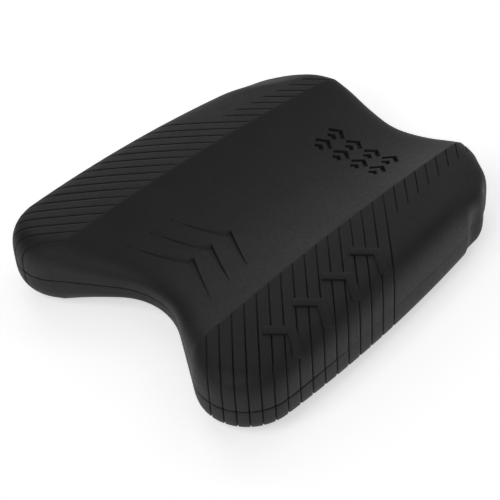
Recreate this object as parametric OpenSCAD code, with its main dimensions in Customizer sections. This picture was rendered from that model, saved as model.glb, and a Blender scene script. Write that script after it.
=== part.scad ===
// Pull buoy: two moulded foam halves joined on a flat parting plane.
// +Y runs along the thigh channel to the grip end, +X to the right lobe, +Z up.
// The plan is worked out about a datum line across the channel, then centred.

/* [Plan] */
// Half width at the front corners
front_half_width = 109; // [104:0.5:114]
// Angle by which the sides tuck in before the grip corners
side_tuck = 8.1; // [4:0.1:10]
// Distance from the datum to the bottom of the front notch
front_notch = 94.2; // [88:0.1:98]
// Radius of the front notch
front_notch_r = 49.5; // [40:0.5:55]
// Angle of the front notch's flanks
front_flank = 32.4; // [26:0.1:36]
// Radius of the front corners
front_corner_r = 30.8; // [26:0.1:34]
// Distance from the datum to the bottom of the rear notch
rear_notch = 116; // [110:0.5:120]
// Radius of the rear notch
rear_notch_r = 64.5; // [55:0.5:80]
// Angle of the rear notch's flanks
rear_flank = 8.8; // [6:0.1:14]
// Radius of the grip corners
rear_corner_r = 54; // [50:1:56]

/* [Section] */
// Height of a ridge above the parting plane at mid length
upper_depth = 27.7; // [24:0.1:32]
// Depth of the lower half below the parting plane
lower_depth = 24.4; // [22:0.1:28]
// Fall of the ridge at the ends, as a share of its height
ridge_fall = 0.163; // [0:0.01:0.25]
// Distance of a ridge from the middle of the channel
ridge_x = 56; // [50:0.5:62]
// How much closer the ridges are at the grip end
ridge_taper = 3; // [0:0.5:5]
// Depth of the thigh channel below the ridges
channel_depth = 13; // [8:0.5:16]
// Fall of a lobe from its ridge to its side
lobe_fall = 3.2; // [1:0.1:5]
// Reach of the rounded edge in from the side
edge_r = 17.8; // [14:0.1:22]
// Squareness of the rounded edge, where 2 is an ellipse
edge_power = 3.4; // [2.2:0.1:4]
// Height of the flat rest faces taken off the underside
rest_trim = 0.8; // [0.4:0.1:1.2]
// Thickness of the bond film
film = 0.6; // [0.4:0.1:1]
// Set-back of the bond film from the side
film_inset = 0.9; // [0.5:0.1:1.5]

/* [Ribs] */
// Number of grooves on each lobe
rib_count = 24; // [20:1:24]
// How many of them run right over the side
long_ribs = 16; // [12:1:16]
// Spacing of the grooves along the ridge
rib_pitch = 9.95; // [9:0.05:9.95]
// Angle at which the grooves sweep towards the front
rib_angle = 43.5; // [38:0.5:48]
// Width of a groove
rib_width = 1.6; // [1:0.1:2]
// Depth of a groove
rib_depth = 1.2; // [0.6:0.1:1.6]
// Length of the first short groove
short_rib_first = 25; // [20:1:28]
// Length of the last short groove
short_rib_last = 16; // [12:1:18]

/* [Grips] */
// Depth of a thumb rest
thumb_depth = 3.5; // [2:0.5:5]
// Depth of a finger scallop
finger_depth = 2.8; // [1:0.1:4]
// Half width of a finger scallop
finger_reach = 9.5; // [8:0.5:12]

/* [Hidden] */
foam = [0.045, 0.045, 0.047];

// Centre of a thumb rest, its half sizes and its turn about Z
thumb_at = [93, 80];
thumb_size = [16, 50];
thumb_turn = 32;
// Directions from the grip corner's centre to its finger scallops
finger_angles = [10, 33, 57];

half_length = 110;
step = 0.01;

// A notch's circle centre, and the y of its flank line where x is zero, for an end facing -Y
function notch_centre(apex, r) = -apex - r;
function flank_y0(apex, r, angle) = notch_centre(apex, r) + r / cos(angle);
function end_y(x, apex, r, angle) =
    x < r * sin(angle)
        ? notch_centre(apex, r) + sqrt(r * r - x * x)
        : flank_y0(apex, r, angle) - x * tan(angle);

// Signed distance in from an end that faces -Y
function end_dist(x, y, apex, r, angle) =
    let (cy = notch_centre(apex, r))
    x * cos(angle) < (y - cy) * sin(angle)
        ? norm([x, y - cy]) - r
        : (x - r * sin(angle)) * sin(angle) + (y - cy - r * cos(angle)) * cos(angle);

// Centre of the front corner, tangent to the side and to the notch's flank
front_corner_x = front_half_width - front_corner_r;
front_corner_y = flank_y0(front_notch, front_notch_r, front_flank)
    - front_corner_x * tan(front_flank) + front_corner_r / cos(front_flank);

// The side is a parabola that ends at the tuck angle, where the grip corner takes over
tuck = tan(side_tuck);
rear_slope = tan(rear_flank);
side_end_y = (-flank_y0(rear_notch, rear_notch_r, rear_flank)
    + rear_slope * (front_half_width + front_corner_y * tuck / 2 - rear_corner_r * cos(side_tuck))
    - rear_corner_r / cos(rear_flank)
    + rear_corner_r * sin(side_tuck)) / (1 + rear_slope * tuck / 2);
side_length = side_end_y - front_corner_y;
rear_corner_x = front_half_width - side_length * tuck / 2 - rear_corner_r * cos(side_tuck);
rear_corner_y = side_end_y - rear_corner_r * sin(side_tuck);

// Y of the front and of the rear outline at a distance x from the middle
function front_y(x) =
    x < front_corner_x - front_corner_r * sin(front_flank)
        ? end_y(x, front_notch, front_notch_r, front_flank)
        : front_corner_y - sqrt(pow(front_corner_r, 2) - pow(x - front_corner_x, 2));
function rear_y(x) =
    x < rear_corner_x - rear_corner_r * sin(rear_flank)
        ? -end_y(x, rear_notch, rear_notch_r, rear_flank)
        : rear_corner_y + sqrt(pow(rear_corner_r, 2) - pow(x - rear_corner_x, 2));

function side_share(y) = min(1.2, max(0, (y - front_corner_y) / side_length));
function side_x(y) = front_half_width - side_length * tuck / 2 * pow(side_share(y), 2);
function side_dist(x, y) = (side_x(y) - x) * cos(atan(tuck * side_share(y)));

// Signed distance in from the outline, for x from 0 up
function edge_dist(x, y) =
    let (
        vf = [x - front_corner_x, y - front_corner_y],
        vr = [x - rear_corner_x, y - rear_corner_y]
    )
    vf.y < 0 && vf * [cos(front_flank), -sin(front_flank)] > 0
        ? front_corner_r - norm(vf)
    : vr * [-sin(side_tuck), cos(side_tuck)] > 0 && vr * [cos(rear_flank), sin(rear_flank)] > 0
        ? rear_corner_r - norm(vr)
    : min(
        end_dist(x, y, front_notch, front_notch_r, front_flank),
        end_dist(x, -y, rear_notch, rear_notch_r, rear_flank),
        side_dist(x, y)
    );

// Unit vector in from the outline
function inward(x, y) =
    let (
        d = edge_dist(x, y),
        g = [edge_dist(x + step, y) - d, edge_dist(x, y + step) - d]
    )
    norm(g) > 0 ? g / norm(g) : [0, 0];

// Distance from p along direction v to the outline, by halving
function reach(p, v, lo = 0, hi = 180, left = 26) =
    left == 0
        ? lo
        : let (mid = (lo + hi) / 2, q = p + v * mid)
          edge_dist(q.x, q.y) > 0
              ? reach(p, v, mid, hi, left - 1)
              : reach(p, v, lo, mid, left - 1);

function ridge(y) = ridge_x - ridge_taper * y / half_length;

// Share of the full height left by the rounded edge
function edge_share(d) = min(1, max(0, 1 - d / edge_r));
function edge_height(d) = pow(1 - pow(edge_share(d), edge_power), 1 / edge_power);

// Height of the upper surface over the parting plane, before the rounded edge
function crown(x, y) =
    let (
        top = upper_depth * (1 - ridge_fall * pow(y / half_length, 2)),
        rx = ridge(y),
        out = (x - rx) / (front_half_width - rx)
    )
    x < rx
        ? top - channel_depth * (1 - pow(x / rx, 2))
        : top - lobe_fall * out * out;

// A smooth bump, 1 in the middle and 0 past 1
function bump(r) = r < 1 ? pow(1 - r * r, 2) : 0;

function thumb(x, y) =
    let (
        v = [x, y] - thumb_at,
        along = v * [-sin(thumb_turn), cos(thumb_turn)],
        across = v * [cos(thumb_turn), sin(thumb_turn)]
    )
    thumb_depth * bump(norm([across / thumb_size.x, along / thumb_size.y]));

rear_corner = [rear_corner_x, rear_corner_y];
finger_points = [
    for (a = finger_angles)
        let (v = [cos(a), sin(a)])
        rear_corner + v * reach(rear_corner, v)
];
function finger(x, y) =
    finger_depth * max([for (p = finger_points) bump(norm([x, y] - p) / finger_reach)]);

// Rows of the surface, each [y at the ridge, direction, rib number or 0]
front_start = front_y(ridge(-half_length));
rear_end = rear_y(ridge(half_length));
function rib_y(k) = (k - 12) * rib_pitch;
groove_half = rib_width / 2 / cos(rib_angle);
front_rows = [
    for (f = [0, 0.08, 0.25, 0.55])
        [front_start + f * (rib_y(1) - front_start), -rib_angle, 0]
];
// Each groove has a row on both sides of its own, and the grip end has one between grooves too
rib_rows = [
    for (k = [1:rib_count], part = [-1:2])
        if (part < 2 || (k >= long_ribs && k < rib_count))
            part < 2
                ? [min(rib_y(k) + part * groove_half, rear_end - 0.4), -rib_angle, part == 0 ? k : 0]
                : [rib_y(k) + rib_pitch / 2, -rib_angle, 0]
];
// Beyond the last groove the rows turn like a fan about the end of the ridge. The last one
// runs just inside the outline, so that it has a length.
fan_rows = 12;
fan_start = rear_end - 0.35;
fan_angle = rear_flank - 4;
fan = [
    for (i = [1:fan_rows])
        let (f = i / fan_rows)
        [fan_start + (rear_end - fan_start) * f, -rib_angle + (rib_angle + fan_angle) * f, 0]
];
rows = concat(front_rows, rib_rows, fan);
row_total = len(rows);

channel_steps = 4;
lobe_steps = 9;
columns = channel_steps + lobe_steps;

// Distance along a groove at lobe column j, close together at the outline
function lobe_share(j) = 1 - pow(1 - j / lobe_steps, 2.5);

function groove_length(k) =
    k == 0 ? 0
    : k <= long_ribs ? 1000
    : short_rib_first
        + (short_rib_last - short_rib_first) * (k - long_ribs - 1) / (rib_count - long_ribs - 1);

function fade(a, b, x) = min(1, max(0, (x - a) / (b - a)));

// Plan point [x, y, groove depth] of row r at column c
function plan_point(r, c) =
    let (
        row = rows[r],
        rx = ridge(row[0]),
        v = [cos(row[1]), sin(row[1])]
    )
    c <= channel_steps
        ? let (
            x = rx * c / channel_steps,
            front_shift = front_y(x) - front_y(rx),
            rear_shift = rear_y(x) - rear_y(rx)
          )
          [x, row[0] + front_shift * fade(0, front_start, row[0]) + rear_shift * fade(0, rear_end, row[0]), 0]
        : let (
            p = [rx, row[0]],
            t = reach(p, v) * lobe_share(c - channel_steps),
            q = p + v * t
          )
          [q.x, q.y, t < groove_length(row[2]) ? rib_depth : 0];

// Surface point over a plan point, with its height scaled for the upper or the lower half
function surface_point(p, on_rim, scale_z, is_upper) =
    let (
        d = max(0, edge_dist(p.x, p.y)),
        wall = pow(edge_share(d), edge_power),
        into = inward(p.x, p.y),
        z = scale_z * crown(p.x, p.y) * edge_height(d) - (is_upper ? thumb(p.x, p.y) * (1 - wall) : 0),
        side_cut = p[2] * wall + finger(p.x, p.y) * (is_upper ? wall * (1 - z / upper_depth) : wall),
        z_cut = p[2] * (1 - wall),
        low = is_upper ? z - z_cut : min(z - z_cut, lower_depth - rest_trim)
    )
    [p.x + into.x * side_cut, p.y + into.y * side_cut, on_rim ? 0 : low];

plan = [for (r = [0:row_total - 1]) [for (c = [0:columns]) plan_point(r, c)]];

// One closed half: the curved skin, and a fan of triangles over the parting plane
module half(scale_z, is_upper) {
    right = [
        for (r = [0:row_total - 1], c = [0:columns])
            surface_point(plan[r][c], r == 0 || r == row_total - 1 || c == columns, scale_z, is_upper)
    ];
    left = [for (p = right) [-p.x, p.y, p.z]];
    width = columns + 1;
    count = len(right);
    hubs = [[ridge(0), 0, 0], [-ridge(0), 0, 0], [0, 0, 0]];
    points = concat(right, left, hubs);
    hub_r = 2 * count;
    hub_l = hub_r + 1;
    hub_m = hub_r + 2;
    // The lobe part of the first row is a single point, at the ridge
    front_ridge = channel_steps;
    function first(r, c) = r == 0 && c > front_ridge ? front_ridge : r * width + c;
    skin = [
        for (r = [0:row_total - 2], c = [0:columns - 1], part = [0, 1])
            let (a = first(r, c), b = first(r, c + 1), e = (r + 1) * width + c, f = e + 1)
            if (part == 1 || a != b)
                part == 0 ? [a, b, f] : [a, f, e]
    ];
    rim = [for (r = [0:row_total - 2]) [(r + 1) * width + columns, first(r, columns), hub_r]];
    rear_base = (row_total - 1) * width;
    lobe_ends = [for (c = [channel_steps:columns - 1]) [rear_base + c, rear_base + c + 1, hub_r]];
    channel = concat(
        [for (c = [0:channel_steps - 1]) [c + 1, c, hub_m]],
        [for (c = [0:channel_steps - 1]) [rear_base + c, rear_base + c + 1, hub_m]],
        [[hub_r, front_ridge, hub_m], [rear_base + front_ridge, hub_r, hub_m]]
    );
    right_base = concat(rim, lobe_ends, channel);
    function swap(i) = i < count
        ? (i % width == 0 ? i : i + count)
        : (i == hub_r ? hub_l : i);
    right_faces = concat(
        [for (t = skin) [t[0], t[2], t[1]]],
        [for (t = right_base) [t[0], t[2], t[1]]]
    );
    left_faces = [for (t = right_faces) [swap(t[0]), swap(t[2]), swap(t[1])]];
    polyhedron(points = points, faces = concat(right_faces, left_faces), convexity = 8);
}

// The outline in plan
module outline() {
    front = [for (c = [0:channel_steps]) plan[0][c]];
    side = [for (r = [1:row_total - 1]) plan[r][columns]];
    rear = [for (c = [columns - 1:-1:0]) plan[row_total - 1][c]];
    right = [for (p = concat(front, side, rear)) [p.x, p.y]];
    left = [for (i = [len(right) - 2:-1:1]) [-right[i].x, right[i].y]];
    polygon(concat(right, left));
}

front_tip = front_corner_y - front_corner_r;
rear_tip = rear_corner_y + rear_corner_r;
datum = -(front_tip + rear_tip) / 2;
parting_z = lower_depth - rest_trim + film / 2;

module upper_half() {
    color(foam)
        translate([0, datum, parting_z + film / 2])
            half(1, true);
}

module bond_film() {
    color([0.03, 0.03, 0.03])
        translate([0, datum, parting_z - film / 2])
            linear_extrude(film)
                offset(delta = -film_inset - rib_depth)
                    outline();
}

module lower_half() {
    color(foam)
        translate([0, datum, parting_z - film / 2])
            mirror([0, 0, 1])
                half(lower_depth / upper_depth, false);
}

upper_half();
bond_film();
lower_half();
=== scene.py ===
"""A foam pull buoy: two moulded halves with ribbed lobes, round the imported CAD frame."""

import math

import bmesh
import bpy
import numpy as np
from mathutils import Matrix, Vector


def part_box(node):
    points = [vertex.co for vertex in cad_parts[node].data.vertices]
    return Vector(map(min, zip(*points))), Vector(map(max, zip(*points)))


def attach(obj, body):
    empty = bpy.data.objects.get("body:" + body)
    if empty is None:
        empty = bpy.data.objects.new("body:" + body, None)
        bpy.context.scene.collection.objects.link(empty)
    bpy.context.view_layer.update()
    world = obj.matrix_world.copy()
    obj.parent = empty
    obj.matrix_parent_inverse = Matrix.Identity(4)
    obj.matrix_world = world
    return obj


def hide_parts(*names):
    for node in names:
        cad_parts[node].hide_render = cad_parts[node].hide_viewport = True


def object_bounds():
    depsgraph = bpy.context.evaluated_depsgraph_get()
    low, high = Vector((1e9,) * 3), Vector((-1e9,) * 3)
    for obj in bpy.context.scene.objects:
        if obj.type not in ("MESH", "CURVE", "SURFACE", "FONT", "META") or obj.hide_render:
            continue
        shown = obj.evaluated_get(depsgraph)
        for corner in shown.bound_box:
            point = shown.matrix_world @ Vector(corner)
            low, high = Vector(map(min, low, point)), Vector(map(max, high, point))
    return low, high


MM = 0.001

# ---------------------------------------------------------------- the frame
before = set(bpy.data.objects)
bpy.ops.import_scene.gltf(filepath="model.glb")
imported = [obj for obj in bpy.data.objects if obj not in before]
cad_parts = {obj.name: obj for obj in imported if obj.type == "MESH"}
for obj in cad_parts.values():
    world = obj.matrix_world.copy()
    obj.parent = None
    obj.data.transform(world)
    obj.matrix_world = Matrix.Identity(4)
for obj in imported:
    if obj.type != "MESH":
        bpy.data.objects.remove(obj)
cad_low, cad_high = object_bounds()
upper_low, upper_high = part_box("upper_half")
_, lower_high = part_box("lower_half")

HALF_WIDTH = upper_high.x / MM
UPPER_DEPTH = (upper_high.z - upper_low.z) / MM
UPPER_BASE = upper_low.z / MM
LOWER_BASE = lower_high.z / MM

# ---------------------------------------------------------------- driving dimensions, in mm
# Angles are in radians. Plan points have their own Y origin, and DATUM moves them to the frame's.

# The plan: how far the sides tuck in towards the rear, and each end's notch, flank and corner
SIDE_TUCK = math.radians(8.1)
FRONT_NOTCH = 94.2
FRONT_NOTCH_R = 49.5
FRONT_FLANK = math.radians(32.4)
FRONT_CORNER_R = 30.8
REAR_NOTCH = 116
REAR_NOTCH_R = 64.5
REAR_FLANK = math.radians(8.8)
REAR_CORNER_R = 54

# The section: the flat patches on which the float rests, the ridges, the channel, the lobes, the edge
REST_TRIM = 0.8
LOWER_DEPTH = LOWER_BASE + REST_TRIM
HALF_LENGTH = 110
RIDGE_X = 56
RIDGE_TAPER = 3
RIDGE_FALL = 0.163
CHANNEL_DEPTH = 13
LOBE_FALL = 3.2
EDGE_R = 17.8
EDGE_POWER = 3.4

# The grooves across each lobe
RIB_COUNT = 24
LONG_RIBS = 16
MIDDLE_RIB = 12
RIB_PITCH = 9.95
RIB_ANGLE = math.radians(43.5)
# The short grooves near the grip end: length of the first and the last, and share of the full depth
SHORT_RIB_FIRST = 25
SHORT_RIB_LAST = 16
SHORT_RIB_SHARE = 0.8
# Every groove's rear lip stays at least this far in front of the end of the ridge
LAST_RIB_GAP = 0.9
# A groove's profile: distance across it, and depth there
GROOVE = ((-0.7, 0.0), (-0.44, 0.12), (-0.27, 0.8), (0.0, 1.0), (0.27, 0.8), (0.44, 0.12), (0.7, 0.0))
# How far a groove takes to sink in at each end
GROOVE_RAMP = 1.2
# Long grooves are shallower near the ridge: their share of the depth there, and where they are full
GROOVE_START = 0.5
GROOVE_FULL = 32

# The thumb rests and the finger scallops, mirrored on both sides of the grip end
THUMB_AT = (93, 80)
THUMB_SIZE = (16, 50)
THUMB_TURN = math.radians(32)
THUMB_DEPTH = 3.5
FINGER_ANGLES = [math.radians(a) for a in (10, 33, 57)]
FINGER_DEPTH = 2.8
FINGER_REACH = 9.5

# The moulded seam: how far its lips are rounded, and how far the bond layer lies behind them
SEAM_ROUND = 0.4
SEAM_DEPTH = 0.8
BOND_GAP = 0.03
BOND_LEAST_STEP = 0.02
# The seam is open at the front, in slow waves across the float, and nearly flush further back
SEAM_FADE_FROM = -78
SEAM_FADE_OVER = 30
SEAM_LEAST = 0.04
SEAM_MEAN = 0.72
SEAM_SWING = 0.28
SEAM_PEAK_X = 62
SEAM_FINE_WAVE = 9
SEAM_LONG_WAVE = 23
SEAM_LONG_PHASE = 0.6

# Engraved chevrons: rear edge's Y at the apex, half span, how far the tips lie in front of the apex
CHEVRONS = ((-63.5, 34.2, 19.2), (-48.8, 32.6, 17.0), (-33.0, 31.2, 17.2))
CHEVRON_RINGS = 61
CHEVRON_WIDTH = 6.0
CHEVRON_TIP_WIDTH = 2.0
CHEVRON_DEPTH = 1.5
CHEVRON_TIP_DEPTH = 0.5
# One wall slopes gently: how far it reaches per depth, on the left arm and on the right arm
CHEVRON_SLOPES = (1.2, 1.7)
# A slit runs along the foot of the steep wall: its width, and its depth below the floor on each arm
CHEVRON_SLIT = 1.4
CHEVRON_SLIT_DEPTHS = (2.4, 0.5)
CHEVRON_FOOT = 0.2
# A slit's share of its depth at the tips, and how fast it gains the rest towards the apex
SLIT_TIP_SHARE = 0.1
SLIT_GAIN = 3
# The slope and the slit together fill at most this share of the width
CHEVRON_FILL = 0.9
# At the apex the slit crosses from the front edge to the rear edge, over this share of the half span
CHEVRON_CROSSING = 0.06
CROSSED_AT_APEX = 0.8
# How far the cutter stands out of the surface, and how much wider it is there than its walls' slope
CUTTER_RISE = 0.5
CUTTER_MARGIN = 0.05

# Two rows of double engraved ticks: where each row starts, and the arm and place of each tick
TICK_ROWS = ((-17.5, 80.0), (-16.0, 66.5))
TICK_ARMS = ((7.6, 0.0), (3.6, -5.6))
TICK_COUNT = 4
TICK_PITCH = 15.0
TICK_WIDTH = 2.6
TICK_DEPTH = 2.4
TICK_SPREAD = math.radians(52)
# From the bottom up: growth of the outline, and height over the surface
TICK_PROFILE = ((-0.2, -TICK_DEPTH), (0.0, -0.15), (0.25, 0.6))
TICK_OUTLINE_STEP = 2

# Raised chevrons along the right lobe
MARK_FIRST = (92.5, -82.0)
MARK_LAST = (87.0, -6.0)
MARK_COUNT = 4
MARK_ARM = 15.5
MARK_WIDTH = 5.6
MARK_HEIGHT = 1.0
MARK_SPREAD = math.radians(52)
MARK_PROFILE = ((0.1, -1.5), (0.0, MARK_HEIGHT - 0.3), (-0.09, MARK_HEIGHT - 0.09), (-0.3, MARK_HEIGHT))
MARK_OUTLINE_STEP = 1.5

# ---------------------------------------------------------------- the plan, as in the CAD


def flank_y0(apex, r, angle):
    """Y at the middle of the straight line that continues a notch's flank, for an end facing -Y."""
    return -apex - r + r / math.cos(angle)


FRONT_Y0 = flank_y0(FRONT_NOTCH, FRONT_NOTCH_R, FRONT_FLANK)
REAR_Y0 = flank_y0(REAR_NOTCH, REAR_NOTCH_R, REAR_FLANK)
# The centres of the corner arcs
FRONT_CORNER = np.array([
    HALF_WIDTH - FRONT_CORNER_R,
    FRONT_Y0 - (HALF_WIDTH - FRONT_CORNER_R) * math.tan(FRONT_FLANK) + FRONT_CORNER_R / math.cos(FRONT_FLANK),
])
TUCK = math.tan(SIDE_TUCK)
REAR_SLOPE = math.tan(REAR_FLANK)
SIDE_END_Y = (
    -REAR_Y0
    + REAR_SLOPE * (HALF_WIDTH + FRONT_CORNER[1] * TUCK / 2 - REAR_CORNER_R * math.cos(SIDE_TUCK))
    - REAR_CORNER_R / math.cos(REAR_FLANK)
    + REAR_CORNER_R * math.sin(SIDE_TUCK)
) / (1 + REAR_SLOPE * TUCK / 2)
SIDE_LENGTH = SIDE_END_Y - FRONT_CORNER[1]
REAR_CORNER = np.array([
    HALF_WIDTH - SIDE_LENGTH * TUCK / 2 - REAR_CORNER_R * math.cos(SIDE_TUCK),
    SIDE_END_Y - REAR_CORNER_R * math.sin(SIDE_TUCK),
])
DATUM = -(FRONT_CORNER[1] - FRONT_CORNER_R + REAR_CORNER[1] + REAR_CORNER_R) / 2


def end_y(x, apex, r, angle):
    """Y of an end that faces -Y: its notch, then its flank."""
    notch = -apex - r + np.sqrt(np.maximum(r * r - x * x, 0))
    return np.where(x < r * math.sin(angle), notch, flank_y0(apex, r, angle) - x * math.tan(angle))


def front_y(x):
    corner = FRONT_CORNER[1] - np.sqrt(np.maximum(FRONT_CORNER_R**2 - (x - FRONT_CORNER[0]) ** 2, 0))
    on_flank = x < FRONT_CORNER[0] - FRONT_CORNER_R * math.sin(FRONT_FLANK)
    return np.where(on_flank, end_y(x, FRONT_NOTCH, FRONT_NOTCH_R, FRONT_FLANK), corner)


def rear_y(x):
    corner = REAR_CORNER[1] + np.sqrt(np.maximum(REAR_CORNER_R**2 - (x - REAR_CORNER[0]) ** 2, 0))
    on_flank = x < REAR_CORNER[0] - REAR_CORNER_R * math.sin(REAR_FLANK)
    return np.where(on_flank, -end_y(x, REAR_NOTCH, REAR_NOTCH_R, REAR_FLANK), corner)


def end_dist(x, y, apex, r, angle):
    """Signed distance in from an end that faces -Y."""
    cy = -apex - r
    s, c = math.sin(angle), math.cos(angle)
    return np.where(x * c < (y - cy) * s, np.hypot(x, y - cy) - r, (x - r * s) * s + (y - cy - r * c) * c)


def side_dist(x, y):
    share = np.clip((y - FRONT_CORNER[1]) / SIDE_LENGTH, 0, 1.2)
    side_x = HALF_WIDTH - SIDE_LENGTH * TUCK / 2 * share**2
    return (side_x - x) * np.cos(np.arctan(TUCK * share))


def edge_dist(x, y):
    """Signed distance in from the outline, on either side of the middle."""
    x = np.abs(x)
    fx, fy = x - FRONT_CORNER[0], y - FRONT_CORNER[1]
    rx, ry = x - REAR_CORNER[0], y - REAR_CORNER[1]
    in_front = (fy < 0) & (fx * math.cos(FRONT_FLANK) - fy * math.sin(FRONT_FLANK) > 0)
    in_rear = (-rx * math.sin(SIDE_TUCK) + ry * math.cos(SIDE_TUCK) > 0) & (
        rx * math.cos(REAR_FLANK) + ry * math.sin(REAR_FLANK) > 0
    )
    straight = np.minimum(
        np.minimum(
            end_dist(x, y, FRONT_NOTCH, FRONT_NOTCH_R, FRONT_FLANK),
            end_dist(x, -y, REAR_NOTCH, REAR_NOTCH_R, REAR_FLANK),
        ),
        side_dist(x, y),
    )
    straight = np.where(in_rear, REAR_CORNER_R - np.hypot(rx, ry), straight)
    return np.where(in_front, FRONT_CORNER_R - np.hypot(fx, fy), straight)


def inward(x, y):
    """Unit vector in from the outline."""
    step = 0.01
    d = edge_dist(x, y)
    gx, gy = edge_dist(x + step, y) - d, edge_dist(x, y + step) - d
    size = np.maximum(np.hypot(gx, gy), 1e-9)
    return gx / size, gy / size


def reach(px, py, vx, vy):
    """Distance from p along v to the outline, by halving."""
    low, high = np.zeros_like(px), np.full_like(px, 180.0)
    for _ in range(44):
        mid = (low + high) / 2
        inside = edge_dist(px + vx * mid, py + vy * mid) > 0
        low, high = np.where(inside, mid, low), np.where(inside, high, mid)
    return low


# ---------------------------------------------------------------- the section


def ridge(y):
    return RIDGE_X - RIDGE_TAPER * y / HALF_LENGTH


def edge_share(d):
    return np.clip(1 - d / EDGE_R, 0, 1)


def edge_height(d):
    return (1 - edge_share(d) ** EDGE_POWER) ** (1 / EDGE_POWER)


def crown(x, y):
    """Height of the upper surface over the parting plane, before its rounded edge."""
    x = np.abs(x)
    top = UPPER_DEPTH * (1 - RIDGE_FALL * (y / HALF_LENGTH) ** 2)
    rx = ridge(y)
    channel = top - CHANNEL_DEPTH * (1 - (x / rx) ** 2)
    lobe = top - LOBE_FALL * ((x - rx) / (HALF_WIDTH - rx)) ** 2
    return np.where(x < rx, channel, lobe)


def bump(r):
    return np.where(r < 1, (1 - np.minimum(r, 1) ** 2) ** 2, 0)


def thumb(x, y):
    vx, vy = np.abs(x) - THUMB_AT[0], y - THUMB_AT[1]
    s, c = math.sin(THUMB_TURN), math.cos(THUMB_TURN)
    along, across = (vy * c - vx * s) / THUMB_SIZE[1], (vx * c + vy * s) / THUMB_SIZE[0]
    return THUMB_DEPTH * bump(np.hypot(along, across))


def finger_points():
    angles = np.array(FINGER_ANGLES)
    vx, vy = np.cos(angles), np.sin(angles)
    px, py = np.full_like(vx, REAR_CORNER[0]), np.full_like(vx, REAR_CORNER[1])
    t = reach(px, py, vx, vy)
    return list(zip(px + vx * t, py + vy * t))


FINGERS = finger_points()


def finger(x, y):
    cuts = [bump(np.hypot(np.abs(x) - px, y - py) / FINGER_REACH) for px, py in FINGERS]
    return FINGER_DEPTH * np.sum(cuts, axis=0)


def seam_wear(x, y):
    """How open the seam is, from 1 at its crispest to near 0 where it is flush."""
    fade = np.clip((y - SEAM_FADE_FROM) / SEAM_FADE_OVER, 0, 1)
    fine = np.cos((np.abs(x) - SEAM_PEAK_X) / SEAM_FINE_WAVE)
    waves = SEAM_MEAN + SEAM_SWING * fine * np.cos(x / SEAM_LONG_WAVE + SEAM_LONG_PHASE)
    return SEAM_LEAST + (waves - SEAM_LEAST) * (1 - fade)


def top_z(x, y):
    """Height of the finished upper surface over the parting plane, without its grooves."""
    d = np.maximum(edge_dist(x, y), 0)
    wall = edge_share(d) ** EDGE_POWER
    return crown(x, y) * edge_height(d) - thumb(x, y) * (1 - wall)


# ---------------------------------------------------------------- rows and columns of the skin
SKIN_STEP = 1.5
CHANNEL_COLUMNS = 52
LOBE_COLUMNS = 60
# The last columns before the outline lie this far from it, so that the seam's lip is finely cut
RIM_STEPS = np.array([0.0, 0.15, 0.4, 0.9])
FAN_ROWS = 58
# Plain rows keep this far from a groove's lip
ROW_GAP = 0.4
FRONT_START = float(front_y(np.array(ridge(-HALF_LENGTH))))
REAR_END = float(rear_y(np.array(ridge(HALF_LENGTH))))


def even_ridge(y0, y1, count=None):
    """Y values that lie evenly along the ridge's own curve from y0 to y1."""
    y = y0 + (y1 - y0) * (1 - np.cos(np.linspace(0, math.pi, 4001))) / 2
    z = top_z(ridge(y), y)
    run = np.concatenate([[0], np.cumsum(np.hypot(np.diff(y), np.diff(z)))])
    count = count or int(run[-1] / SKIN_STEP)
    return np.interp(np.linspace(0, run[-1], count + 1), run, y)


# From a groove's centre to its lip, along the ridge
RIB_LIP = GROOVE[-1][0] / math.cos(RIB_ANGLE)


def rib_y(k):
    return min((k - MIDDLE_RIB) * RIB_PITCH, REAR_END - RIB_LIP - LAST_RIB_GAP)


def groove_length(k):
    """A long groove runs out over the side, so its length is only larger than any row's."""
    if k <= LONG_RIBS:
        return 1000
    share = (k - LONG_RIBS - 1) / (RIB_COUNT - LONG_RIBS - 1)
    return SHORT_RIB_FIRST + (SHORT_RIB_LAST - SHORT_RIB_FIRST) * share


def skin_rows():
    """Every row as (y at the ridge, direction, groove depth, groove length)."""
    rows = []
    for k in range(1, RIB_COUNT + 1):
        for across, depth in GROOVE:
            rows.append((rib_y(k) + across / math.cos(RIB_ANGLE), -RIB_ANGLE, depth, groove_length(k)))
    last = rows[-1][0]
    centres = np.array([rib_y(k) for k in range(1, RIB_COUNT + 1)])
    for y in even_ridge(FRONT_START, REAR_END):
        if np.min(np.abs(centres - y)) > RIB_LIP + ROW_GAP and y < last:
            rows.append((y, -RIB_ANGLE, 0, 0))
    rows.sort()
    # Beyond the last groove the rows turn like a fan, up to the outline's own direction
    end_x = ridge(HALF_LENGTH)
    tangent = math.acos((end_x - REAR_CORNER[0]) / REAR_CORNER_R) - math.pi / 2
    turn = np.linspace(-RIB_ANGLE, tangent - math.radians(0.8), FAN_ROWS + 1)[1:]
    for y, angle in zip(even_ridge(last, REAR_END, FAN_ROWS)[1:], turn):
        rows.append((y, angle, 0, 0))
    return np.array(rows)


ROWS = skin_rows()


def lobe_distances(px, py, vx, vy):
    """Distances along each row that lie evenly on the surface, and closer at the rim."""
    length = reach(px, py, vx, vy)
    u = np.linspace(0, 1, 500)
    out = np.zeros((len(px), LOBE_COLUMNS))
    for i, total in enumerate(length):
        t = total * (1 - (1 - u) ** 4)
        x, y = px[i] + vx[i] * t, py[i] + vy[i] * t
        z = crown(x, y) * edge_height(np.maximum(edge_dist(x, y), 0))
        z[-1] = 0
        run = np.concatenate([[0], np.cumsum(np.hypot(np.diff(t), np.diff(z)))])
        rim = run[-1] - RIM_STEPS * min(1, run[-1] / 10)
        inner = np.linspace(0, rim[-1], LOBE_COLUMNS - len(RIM_STEPS) + 2)[1:-1]
        out[i] = np.interp(np.concatenate([inner, rim[::-1]]), run, t)
    return out


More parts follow.
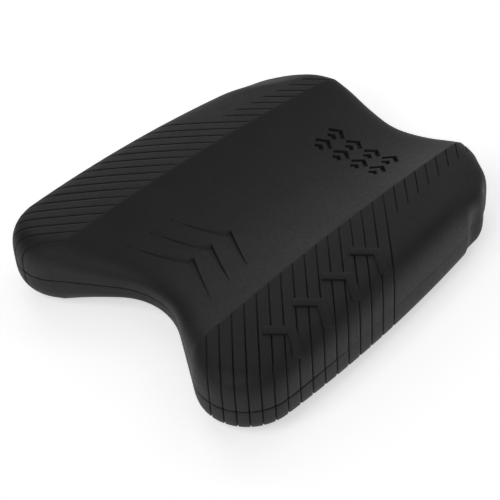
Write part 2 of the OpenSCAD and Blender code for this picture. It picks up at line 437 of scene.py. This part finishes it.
def channel_grid():
    """Plan points of the channel's right half, from the middle to the ridge."""
    y = ROWS[:, :1]
    rx = ridge(y)
    x = rx * np.linspace(0, 1, CHANNEL_COLUMNS + 1)
    front = np.clip(y / FRONT_START, 0, 1) * (front_y(x) - front_y(rx))
    rear = np.clip(y / REAR_END, 0, 1) * (rear_y(x) - rear_y(rx))
    return x, y + front + rear, np.zeros_like(x)


def lobe_grid():
    """Plan points of the right lobe beyond its ridge, and the groove depth at each."""
    py, angle, depth, length = ROWS.T
    px, vx, vy = ridge(py), np.cos(angle), np.sin(angle)
    t = lobe_distances(px, py, vx, vy)
    ramp = np.clip(t / GROOVE_RAMP, 0, 1) * np.clip((length[:, None] - t) / GROOVE_RAMP, 0, 1)
    long_share = np.clip(GROOVE_START + t / GROOVE_FULL / 2, 0, 1)
    ramp = ramp * np.where(length[:, None] > HALF_LENGTH, long_share, SHORT_RIB_SHARE)
    return px[:, None] + vx[:, None] * t, py[:, None] + vy[:, None] * t, depth[:, None] * ramp


def skin_points(upper):
    """The right side's surface points, rows by columns, and how deep in a groove each lies."""
    x, y, cut = (np.hstack(pair) for pair in zip(channel_grid(), lobe_grid()))
    d = np.maximum(edge_dist(x, y), 0)
    wall = edge_share(d) ** EDGE_POWER
    into_x, into_y = inward(x, y)
    scale = 1 if upper else LOWER_DEPTH / UPPER_DEPTH
    z = scale * crown(x, y) * edge_height(d)
    finger_share = wall * (1 - z / UPPER_DEPTH) if upper else wall
    if upper:
        z = z - thumb(x, y) * (1 - wall)
    z = z - cut * (1 - wall)
    z[0], z[-1], z[:, -1] = 0, 0, 0
    if not upper:
        z = np.minimum(z, LOWER_DEPTH - REST_TRIM)
    seam = SEAM_ROUND * seam_wear(x, y) * np.clip(1 - z / SEAM_ROUND / 2, 0, 1) ** 2
    side = cut * wall + finger(x, y) * finger_share + seam
    return np.dstack([x + into_x * side, y + into_y * side, z]), cut


# ---------------------------------------------------------------- meshes


def new_object(name, mesh):
    piece = bpy.data.objects.new(name, mesh)
    bpy.context.scene.collection.objects.link(piece)
    return piece


def grid_faces(index):
    a, b = index[:-1, :-1].ravel(), index[:-1, 1:].ravel()
    c, d = index[1:, 1:].ravel(), index[1:, :-1].ravel()
    return np.stack([a, b, c, d], axis=1).tolist()


def lid_faces(index, hubs):
    """The faces that close the parting plane, fanned from a hub in each lobe and one in the channel."""
    rows, columns = index.shape
    middle = columns // 2
    left_ridge, right_ridge = middle - CHANNEL_COLUMNS, middle + CHANNEL_COLUMNS
    hub_left, hub_right, hub_middle = hubs
    faces = []
    for side, hub in ((0, hub_left), (columns - 1, hub_right)):
        for r in range(rows - 1):
            pair = [index[r + 1, side], index[r, side]]
            faces.append((pair if side else pair[::-1]) + [hub])
    for r, turned in ((0, True), (rows - 1, False)):
        for c in range(columns - 1):
            hub = hub_left if c < left_ridge else hub_right if c >= right_ridge else hub_middle
            pair = [index[r, c], index[r, c + 1]]
            faces.append((pair[::-1] if turned else pair) + [hub])
    faces += [
        [hub_right, index[0, right_ridge], hub_middle],
        [index[-1, right_ridge], hub_right, hub_middle],
        [hub_middle, index[0, left_ridge], hub_left],
        [hub_middle, hub_left, index[-1, left_ridge]],
    ]
    return faces


def half_mesh(name, upper):
    """One closed half. The skin is a grid, and three hubs close the parting plane."""
    right, cut = skin_points(upper)
    left = right[:, :0:-1] * [-1, 1, 1]
    points = np.concatenate([left, right], axis=1)
    depth = np.concatenate([cut[:, :0:-1], cut], axis=1)
    rows, columns, _ = points.shape
    index = np.arange(rows * columns).reshape(rows, columns)
    hubs = [[-RIDGE_X, 0, 0], [RIDGE_X, 0, 0], [0, 0, 0]]
    faces = grid_faces(index) + lid_faces(index, [rows * columns + i for i in range(3)])
    verts = np.concatenate([points.reshape(-1, 3), hubs])
    base = UPPER_BASE if upper else LOWER_BASE
    verts[:, 1] += DATUM
    verts[:, 2] = base + verts[:, 2] if upper else base - verts[:, 2]
    mesh = bpy.data.meshes.new(name)
    mesh.from_pydata((verts * MM).tolist(), [], [[int(i) for i in f] for f in faces])
    # Each point's groove depth, which the foam's shader uses to paint shade into the grooves
    recess = mesh.attributes.new("recess", "FLOAT", "POINT")
    recess.data.foreach_set("value", np.concatenate([depth.ravel(), np.zeros(len(hubs))]).astype(np.float32))
    tidy(mesh, flip=not upper)
    return mesh


# Points closer than this are joined, and edges shorter than this are dropped, in metres
MERGE_M = 2e-6
THIN_M = 1e-6


def tidy(mesh, flip):
    """Joins points that meet, drops faces without area, and turns the lower half's faces outward."""
    work = bmesh.new()
    work.from_mesh(mesh)
    bmesh.ops.remove_doubles(work, verts=work.verts, dist=MERGE_M)
    bmesh.ops.dissolve_degenerate(work, edges=work.edges, dist=THIN_M)
    if flip:
        bmesh.ops.reverse_faces(work, faces=work.faces)
    work.to_mesh(mesh)
    work.free()


def lift(points):
    """Plan points over the parting plane, in mm, as metres in the frame."""
    points = np.asarray(points, dtype=float).copy()
    points[:, 1] += DATUM
    points[:, 2] += UPPER_BASE
    return (points * MM).tolist()


def lofted(sections):
    """A closed mesh through rings of the same number of points."""
    sections = np.asarray(sections)
    count, size, _ = sections.shape
    index = np.arange(count * size).reshape(count, size)
    index = np.hstack([index, index[:, :1]])
    faces = grid_faces(index) + [index[0, :-1][::-1].tolist(), index[-1, :-1].tolist()]
    return lift(sections.reshape(-1, 3)), faces


def on_surface(x, y, rise):
    """A point that far above the upper surface."""
    return [x, y, float(top_z(np.array(x), np.array(y))) + rise]


def chevron_profile(share, width):
    """Points across the recess as (distance in front of its rear edge, depth), from rear to front."""
    size = 1 - abs(share)
    depth = CHEVRON_TIP_DEPTH + (CHEVRON_DEPTH - CHEVRON_TIP_DEPTH) * size
    gain = min(1, SLIT_TIP_SHARE + SLIT_GAIN * size)
    left_deep, right_deep = (depth + extra * gain for extra in CHEVRON_SLIT_DEPTHS)
    room = CHEVRON_FILL * width - CHEVRON_SLIT
    left_slope, right_slope = (min(slope * depth, room) for slope in CHEVRON_SLOPES)
    slit_edge = CHEVRON_FOOT + CHEVRON_SLIT
    left_arm = [(left_slope, depth), (width - slit_edge, depth), (width - CHEVRON_FOOT, left_deep)]
    right_arm = [(CHEVRON_FOOT, right_deep), (slit_edge, depth), (width - right_slope, depth)]
    turn = chevron_turn(share)
    return np.array(left_arm) * (1 - turn) + np.array(right_arm) * turn


def chevron_turn(share):
    """0 on the left arm and 1 on the right arm, with a short blend at the apex."""
    return min(1, max(0, CROSSED_AT_APEX + share / CHEVRON_CROSSING))


def chevron_sections(apex_y, half_span, drop):
    """Rings across one chevron recess, from its left tip over the apex to its right tip."""
    rings = []
    for share in np.linspace(-1, 1, CHEVRON_RINGS):
        x = share * half_span
        rear = apex_y - drop * abs(share)
        width = CHEVRON_TIP_WIDTH + (CHEVRON_WIDTH - CHEVRON_TIP_WIDTH) * (1 - abs(share))
        turn = chevron_turn(share)
        # The gentle wall goes on upward at its own slope, past the surface
        rear_out = CUTTER_RISE * CHEVRON_SLOPES[0] * (1 - turn) + CUTTER_MARGIN
        front_out = CUTTER_RISE * CHEVRON_SLOPES[1] * turn + CUTTER_MARGIN
        rings.append([
            on_surface(x, rear - width - front_out, CUTTER_RISE),
            on_surface(x, rear + rear_out, CUTTER_RISE),
            *[on_surface(x, rear - ahead, -down) for ahead, down in chevron_profile(share, width)],
        ])
    return rings


def arrow(arm, width, spread):
    """Outline of a plain chevron of constant width, with its apex towards +Y and blunt ends."""
    ax, ay = math.sin(spread), -math.cos(spread)
    half_x, half_y = width / 2 * math.cos(spread), width / 2 * math.sin(spread)
    tip_x, tip_y = arm * ax, arm * ay
    top, bottom = width / 2 / math.sin(spread), -width / 2 / math.sin(spread)
    right = [(tip_x + half_x, tip_y + half_y), (tip_x - half_x, tip_y - half_y)]
    left = [(-x, y) for x, y in right[::-1]]
    return np.array([(0, top), *right, (0, bottom), *left]) + [0, arm / 2 * math.cos(spread)]


def subdivided(outline, step):
    """The same closed outline with points every step or less."""
    points = []
    for start, end in zip(outline, np.roll(outline, -1, axis=0)):
        count = max(1, math.ceil(np.hypot(*(end - start)) / step))
        points += [start + (end - start) * i / count for i in range(count)]
    return np.array(points)


def resized(outline, grow):
    """The outline moved out by grow, square to its edges."""
    before, after = np.roll(outline, 1, axis=0), np.roll(outline, -1, axis=0)
    edge_in, edge_out = outline - before, after - outline
    edge_in /= np.linalg.norm(edge_in, axis=1)[:, None]
    edge_out /= np.linalg.norm(edge_out, axis=1)[:, None]
    out_in = np.stack([-edge_in[:, 1], edge_in[:, 0]], axis=1)
    out_out = np.stack([-edge_out[:, 1], edge_out[:, 0]], axis=1)
    middle = out_in + out_out
    middle /= np.sum(middle * out_in, axis=1)[:, None]
    return outline + middle * grow


def arrow_sections(at, turn, outline, profile):
    """Rings of an arrow that follows the surface, one for each (growth, rise) of its profile."""
    c, s = math.cos(turn), math.sin(turn)
    rings = []
    for grow, rise in profile:
        ring = resized(outline, grow) @ np.array([[c, s], [-s, c]]) + at
        rings.append([on_surface(x, y, rise) for x, y in ring])
    return rings


def joined(name, loops):
    """One mesh object from several closed lofts."""
    verts, faces = [], []
    for part_verts, part_faces in loops:
        faces += [[i + len(verts) for i in f] for f in part_faces]
        verts += part_verts
    mesh = bpy.data.meshes.new(name)
    mesh.from_pydata(verts, [], faces)
    work = bmesh.new()
    work.from_mesh(mesh)
    bmesh.ops.recalc_face_normals(work, faces=work.faces)
    work.to_mesh(mesh)
    work.free()
    return new_object(name, mesh)


def engraving():
    """The chevrons and the two rows of ticks, to be cut out of the channel. No two of them overlap."""
    loops = [lofted(chevron_sections(*sizes)) for sizes in CHEVRONS]
    for arm, forward in TICK_ARMS:
        outline = subdivided(arrow(arm, TICK_WIDTH, TICK_SPREAD), TICK_OUTLINE_STEP)
        for first_x, y in TICK_ROWS:
            for i in range(TICK_COUNT):
                at = np.array([first_x + i * TICK_PITCH, y + forward])
                loops.append(lofted(arrow_sections(at, 0, outline, TICK_PROFILE)))
    return joined("engraving", loops)


def raised_marks():
    """A row of plain chevrons along the right lobe."""
    loops = []
    outline = subdivided(arrow(MARK_ARM, MARK_WIDTH, MARK_SPREAD), MARK_OUTLINE_STEP)
    first, last = np.array(MARK_FIRST), np.array(MARK_LAST)
    turn = math.atan2(first[0] - last[0], last[1] - first[1])
    for share in np.linspace(0, 1, MARK_COUNT):
        at = first * (1 - share) + last * share
        loops.append(lofted(arrow_sections(at, turn, outline, MARK_PROFILE)))
    return joined("raised_marks", loops)


def film_mesh():
    """The bond layer: a plate whose edge lies just behind the lips of the two halves."""
    right, _ = skin_points(True)
    rim = np.concatenate([right[0, :-1], right[:-1, -1], right[-1, ::-1]])[:, :2]
    keep = np.concatenate([[True], np.hypot(*np.diff(rim, axis=0).T) > BOND_LEAST_STEP])
    rim = rim[keep]
    into = np.stack(inward(rim[:, 0], rim[:, 1]), axis=1)
    rim = rim + into * (BOND_GAP + SEAM_DEPTH * seam_wear(rim[:, 0], rim[:, 1]))[:, None]
    rim = np.concatenate([rim, rim[-2:0:-1] * [-1, 1]])
    count = len(rim)
    rim[:, 1] += DATUM
    levels = [np.column_stack([rim, np.full(count, z)]) for z in (LOWER_BASE, UPPER_BASE)]
    verts = np.concatenate(levels) * MM
    loop = np.arange(count)
    after = np.roll(loop, -1)
    faces = np.stack([loop, after, after + count, loop + count], axis=1).tolist()
    faces += [loop[::-1].tolist(), (loop + count).tolist()]
    mesh = bpy.data.meshes.new("bond_layer")
    mesh.from_pydata(verts.tolist(), [], faces)
    return mesh


def combine(piece, tool, operation):
    """Joins a tool to a piece or cuts it out, and removes the tool."""
    cut = piece.modifiers.new(operation.lower(), "BOOLEAN")
    cut.operation, cut.solver, cut.object = operation, "EXACT", tool
    graph = bpy.context.evaluated_depsgraph_get()
    result = bpy.data.meshes.new_from_object(piece.evaluated_get(graph), depsgraph=graph)
    piece.modifiers.clear()
    piece.data = result
    bpy.data.objects.remove(tool)


SHARP_ANGLE = math.radians(38)


def shade(mesh):
    """Smooth shading, with creases kept where faces meet at more than the sharp angle."""
    mesh.shade_smooth()
    mesh.set_sharp_from_angle(angle=SHARP_ANGLE)


# ---------------------------------------------------------------- materials


FOAM_COLOUR = (0.014, 0.014, 0.0138)
# Painted shade: the darker tone that the foam takes in its grooves, in place of the shade that falls there
GROOVE_SHADE_COLOUR = (0.008, 0.008, 0.008)
BOND_COLOUR = (0.012, 0.012, 0.012)
# Painted shade for the bond layer, mixed in where the recess attribute is deep
BOND_GROOVE_SHADE_COLOUR = (0.008, 0.008, 0.008)
# The mottle's darkest and palest tone, per base tone
MOTTLE = (0.88, 1.14)
MOTTLE_SCALE = 38
DIMPLE_SCALE = 420
PORE_SCALE = 2600
DIMPLE_HEIGHT = 0.00006
DIMPLE_STRENGTH = 0.3
PORE_HEIGHT = 0.00004
PORE_STRENGTH = 0.45
FOAM_ROUGHNESS = (0.56, 0.66)
FOAM_GLOSS = 0.28
FLOOR_COLOUR = (0.85, 0.85, 0.85)
FLOOR_GLOW = 0.56


def node(tree, kind, **inputs):
    """A new node, with values for inputs whose names have underscores for spaces."""
    made = tree.nodes.new(kind)
    for name, value in inputs.items():
        made.inputs[name.replace("_", " ")].default_value = value
    return made


def noise(tree, coords, scale, detail=3.0, roughness=0.55):
    made = node(tree, "ShaderNodeTexNoise", Scale=scale, Detail=detail, Roughness=roughness)
    tree.links.new(coords, made.inputs["Vector"])
    return made.outputs["Fac"]


def ramp(tree, value, low, high, out_low, out_high):
    """A value mapped from one range to another, and clamped."""
    made = node(tree, "ShaderNodeMapRange", From_Min=low, From_Max=high, To_Min=out_low, To_Max=out_high)
    tree.links.new(value, made.inputs["Value"])
    return made.outputs["Result"]


def bumped(tree, height, distance, strength, under=None):
    """A bump normal, over another one if given."""
    made = node(tree, "ShaderNodeBump", Strength=strength, Distance=distance)
    tree.links.new(height, made.inputs["Height"])
    if under:
        tree.links.new(under, made.inputs["Normal"])
    return made.outputs["Normal"]


def foam_colour(tree, coords, colour, groove_shade_colour):
    """The base tone with a faint mottle, and painted shade that darkens it in the grooves."""
    mottle = noise(tree, coords, MOTTLE_SCALE, detail=4)
    recess = tree.nodes.new("ShaderNodeAttribute")
    recess.attribute_name = "recess"
    tone = node(tree, "ShaderNodeMix")
    tone.data_type = "RGBA"
    tone.inputs["A"].default_value = (*[c * MOTTLE[0] for c in colour], 1)
    tone.inputs["B"].default_value = (*[c * MOTTLE[1] for c in colour], 1)
    tree.links.new(ramp(tree, mottle, 0.3, 0.7, 0, 1), tone.inputs["Factor"])
    # Painted shade: the tone goes towards the groove shade colour where the recess attribute says the groove
    # is deep
    depth = node(tree, "ShaderNodeMix")
    depth.data_type = "RGBA"
    depth.inputs["B"].default_value = (*groove_shade_colour, 1)
    tree.links.new(ramp(tree, recess.outputs["Fac"], 0.15, 0.8, 0, 1), depth.inputs["Factor"])
    tree.links.new(tone.outputs["Result"], depth.inputs["A"])
    return depth.outputs["Result"]


def foam_material(name, colour, groove_shade_colour):
    """Moulded closed-cell foam: a smooth matte skin with fine pores and soft dimples, with painted shade in
    the grooves.
    """
    material = bpy.data.materials.new(name)
    material.use_nodes = True
    tree = material.node_tree
    shader = tree.nodes["Principled BSDF"]
    coords = tree.nodes.new("ShaderNodeTexCoord").outputs["Object"]
    tree.links.new(foam_colour(tree, coords, colour, groove_shade_colour), shader.inputs["Base Color"])
    pores = noise(tree, coords, PORE_SCALE, detail=2, roughness=0.6)
    dimples = noise(tree, coords, DIMPLE_SCALE, detail=3)
    tree.links.new(ramp(tree, dimples, 0.3, 0.7, *FOAM_ROUGHNESS), shader.inputs["Roughness"])
    normal = bumped(tree, dimples, DIMPLE_HEIGHT, DIMPLE_STRENGTH)
    tree.links.new(bumped(tree, pores, PORE_HEIGHT, PORE_STRENGTH, normal), shader.inputs["Normal"])
    shader.inputs["Specular IOR Level"].default_value = FOAM_GLOSS
    return material


def floor_material():
    """A pale matte floor that glows a little, so that it stays white under soft light."""
    material = bpy.data.materials.new("pale_floor")
    material.use_nodes = True
    shader = material.node_tree.nodes["Principled BSDF"]
    shader.inputs["Base Color"].default_value = (*FLOOR_COLOUR, 1)
    shader.inputs["Roughness"].default_value = 0.8
    shader.inputs["Specular IOR Level"].default_value = 0.1
    shader.inputs["Emission Color"].default_value = (1, 1, 1, 1)
    shader.inputs["Emission Strength"].default_value = FLOOR_GLOW
    return material


# ---------------------------------------------------------------- the object
foam = foam_material("moulded_foam", FOAM_COLOUR, GROOVE_SHADE_COLOUR)
bond = foam_material("bond_foam", BOND_COLOUR, BOND_GROOVE_SHADE_COLOUR)


def build_half(name, upper):
    piece = new_object(name, half_mesh(name, upper))
    if upper:
        combine(piece, raised_marks(), "UNION")
        combine(piece, engraving(), "DIFFERENCE")
    piece.data.materials.clear()
    piece.data.materials.append(foam)
    shade(piece.data)
    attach(piece, "root")
    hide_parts("upper_half" if upper else "lower_half")
    return piece


def build_film():
    piece = new_object("bond_layer", film_mesh())
    piece.data.materials.append(bond)
    shade(piece.data)
    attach(piece, "root")
    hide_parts("bond_film")


build_half("upper_foam", upper=True)
build_half("lower_foam", upper=False)
build_film()

# ---------------------------------------------------------------- floor, light and camera
CENTRE = Vector((0, 0, (cad_low.z + cad_high.z) / 2))
VIEW_TURN = math.radians(47.64)
VIEW_RISE = math.radians(41.13)
VIEW_ROLL = math.radians(-4.26)
VIEW_DISTANCE = 909.5 * MM
VIEW_RIGHT = -12.9 * MM
VIEW_UP = -16.8 * MM
LENS = 107.6
FLOOR_REACH = 6
SKY_STRENGTH = 0.02
SOFTBOX_DISTANCE = 1.6
SOFTBOX_SIZE = 0.9
# Each softbox: name, direction from the object, and power in watts
SOFTBOXES = (
    ("front_high", (0.12, -0.68, 0.72), 8.6),
    ("front", (0.5, -0.9, 0.6), 1.0),
    ("top", (0, 0, 1), 1.7),
    ("left_high", (-0.8, 0.2, 0.9), 2.4),
    ("rear_high", (-0.1, 0.8, 0.8), 2.8),
    ("rear_left", (-0.84, 0.5, 0.3), 3.8),
    ("rear_low", (-0.3, 1, 0.12), 2.6),
    ("rear_right", (0.8, 0.8, 0.45), 2.1),
    ("right_high", (1, 0, 0.9), 1.2),
)


def camera_axes():
    """The camera's right, up and back directions."""
    a, e = VIEW_TURN, VIEW_RISE
    back = Vector((math.sin(a) * math.cos(e), -math.cos(a) * math.cos(e), math.sin(e)))
    right = Vector((math.cos(a), math.sin(a), 0))
    up = back.cross(right)
    c, s = math.cos(VIEW_ROLL), math.sin(VIEW_ROLL)
    return c * right + s * up, c * up - s * right, back


def add_camera():
    right, up, back = camera_axes()
    target = Vector((0, DATUM * MM, (UPPER_BASE + LOWER_BASE) / 2 * MM))
    camera = bpy.data.objects.new("camera", bpy.data.cameras.new("camera"))
    bpy.context.scene.collection.objects.link(camera)
    camera.data.lens, camera.data.sensor_width = LENS, 36
    place = Matrix((right, up, back)).transposed().to_4x4()
    place.translation = target + back * VIEW_DISTANCE + right * VIEW_RIGHT + up * VIEW_UP
    camera.matrix_world = place
    camera.data.clip_start, camera.data.clip_end = 0.05, 50
    bpy.context.scene.camera = camera


def add_softbox(name, direction, power):
    """A square area light that looks at the object from a direction."""
    data = bpy.data.lights.new(name, "AREA")
    data.shape, data.size, data.energy = "SQUARE", SOFTBOX_SIZE, power
    light = bpy.data.objects.new(name, data)
    bpy.context.scene.collection.objects.link(light)
    aim = Vector(direction).normalized()
    light.location = CENTRE + aim * SOFTBOX_DISTANCE
    light.rotation_mode = "QUATERNION"
    light.rotation_quaternion = aim.to_track_quat("Z", "Y")


def add_floor():
    mesh = bpy.data.meshes.new("floor")
    corners = [(x * FLOOR_REACH, y * FLOOR_REACH, 0) for x, y in ((-1, -1), (1, -1), (1, 1), (-1, 1))]
    mesh.from_pydata(corners, [], [(0, 1, 2, 3)])
    mesh.materials.append(floor_material())
    new_object("floor", mesh)


def add_world():
    world = bpy.data.worlds.new("studio")
    world.use_nodes = True
    sky = world.node_tree.nodes["Background"]
    sky.inputs["Color"].default_value = (1, 1, 1, 1)
    sky.inputs["Strength"].default_value = SKY_STRENGTH
    bpy.context.scene.world = world


add_floor()
add_world()
for name, direction, power in SOFTBOXES:
    add_softbox(name, direction, power)
add_camera()
bpy.context.scene.view_settings.view_transform = "Standard"
